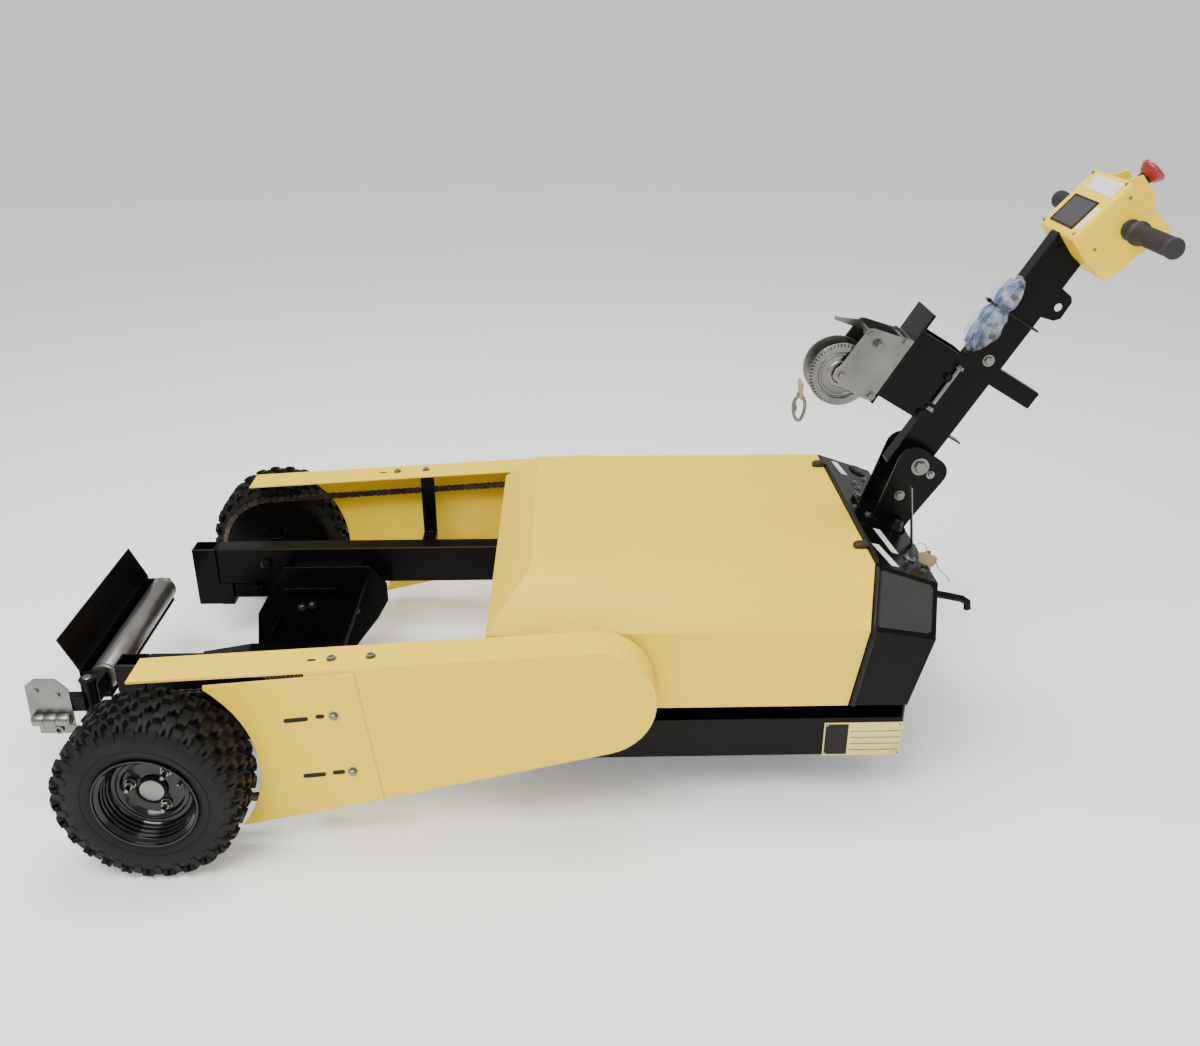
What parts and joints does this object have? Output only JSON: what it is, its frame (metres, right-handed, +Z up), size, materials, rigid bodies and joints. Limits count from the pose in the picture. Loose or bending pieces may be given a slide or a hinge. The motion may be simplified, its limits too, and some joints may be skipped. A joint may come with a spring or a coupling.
{
  "type": "walk-behind aircraft pushback tractor",
  "caption": "Walk-behind electric aircraft tug with chain-driven front wheels on side arms, nose-wheel cradle, roller gate, lift-off hood, winch and tilting tiller.",
  "frame": {"origin": "on the floor under the middle of the overall box", "axes": "+X from the front gate towards the operator's handles, +Y to the operator's right when facing the front, +Z up"},
  "size_m": [2.1466, 1.15, 1.1469],
  "materials": {
    "yellow": "satin powder coat",
    "black": "gloss powder coat",
    "tyre": "matt knobby tread",
    "rim": "gloss paint",
    "zinc": "zinc plated",
    "chain": "oiled",
    "latch": "matt moulded",
    "grip": "ribbed",
    "head": "satin",
    "red": "gloss",
    "plate": "printed blank",
    "webbing": "woven strap in clear film",
    "caster": "matt",
    "battery": "matt case"
  },
  "bodies": {
    "chassis": {"battery_pack": "battery", "drive_motor": "black", "drive_shaft": "chain", "chassis_pan": "black", "cross_tie": "black", "rear_housing": "black", "rear_hook": "black", "rating_plate": "plate", "tiller_yoke": "black", "pivot_bolt": "zinc", "cradle_floor": "black", "gate_hinge": "black", "rail_left": "black", "rail_right": "black", "tow_socket_left": "black", "tow_socket_right": "black", "spindle_left": "black", "spindle_right": "black", "chain_left": "chain", "chain_right": "chain", "chain_guard_left": "yellow", "chain_guard_right": "yellow", "guard_front_left": "yellow", "guard_front_right": "yellow", "guard_post_left": "black", "guard_post_right": "black", "cradle_side_left": "black", "cradle_side_right": "black"},
    "hood": {"hood": "yellow", "hood_latch_left": "latch", "hood_latch_right": "latch"},
    "wheel_left": {"tyre_left": "tyre", "rim_left": "rim", "wheel_sprocket_left": "chain"},
    "wheel_right": {"tyre_right": "tyre", "rim_right": "rim", "wheel_sprocket_right": "chain"},
    "caster_left": {"caster_fork_left": "zinc"},
    "caster_right": {"caster_fork_right": "zinc"},
    "caster_roll_left": {"caster_wheel_left": "caster"},
    "caster_roll_right": {"caster_wheel_right": "caster"},
    "gate": {"gate_arm": "black", "gate_latch": "zinc"},
    "roller": {"gate_roller": "zinc"},
    "tiller": {"tiller_tube": "black", "winch_bracket": "black", "winch_frame": "zinc", "winch_hook": "zinc", "control_head": "head", "grip_left": "grip", "grip_right": "grip", "stop_button": "red", "button_guard": "yellow", "strap_bag": "webbing"},
    "drum": {"winch_drum": "zinc"}
  },
  "joints": [
    {"name": "wheel_left_spin", "type": "hinge", "parent": "chassis", "child": "wheel_left", "pos_m": [-0.76035, -0.51, 0.165], "axis": [0, 1, 0], "continuous": true},
    {"name": "wheel_right_spin", "type": "hinge", "parent": "chassis", "child": "wheel_right", "pos_m": [-0.76035, 0.51, 0.165], "axis": [0, 1, 0], "continuous": true},
    {"name": "caster_left_swivel", "type": "hinge", "parent": "chassis", "child": "caster_left", "pos_m": [0.42965, -0.13, 0.14], "axis": [0, 0, 1], "continuous": true},
    {"name": "caster_left_roll", "type": "hinge", "parent": "caster_left", "child": "caster_roll_left", "pos_m": [0.46465, -0.13, 0.05], "axis": [0, 1, 0], "continuous": true},
    {"name": "caster_right_swivel", "type": "hinge", "parent": "chassis", "child": "caster_right", "pos_m": [0.42965, 0.13, 0.14], "axis": [0, 0, 1], "continuous": true},
    {"name": "caster_right_roll", "type": "hinge", "parent": "caster_right", "child": "caster_roll_right", "pos_m": [0.46465, 0.13, 0.05], "axis": [0, 1, 0], "continuous": true},
    {"name": "hood_lift", "type": "slide", "parent": "chassis", "child": "hood", "axis": [0, 0, 1], "range_m": [0, 0.17]},
    {"name": "tiller_tilt", "type": "hinge", "parent": "chassis", "child": "tiller", "pos_m": [0.67065, 0, 0.562], "axis": [0, 1, 0], "range_deg": [0, 40]},
    {"name": "winch_spin", "type": "hinge", "parent": "tiller", "child": "drum", "pos_m": [0.4956, -0.015, 0.75258], "axis": [0, 1, 0], "continuous": true},
    {"name": "gate_swing", "type": "hinge", "parent": "chassis", "child": "gate", "pos_m": [-0.96235, -0.262, 0.18], "axis": [0, 0, 1], "range_deg": [0, 110]},
    {"name": "roller_spin", "type": "hinge", "parent": "gate", "child": "roller", "pos_m": [-0.96535, 0, 0.18], "axis": [0, 1, 0], "continuous": true}
  ]
}
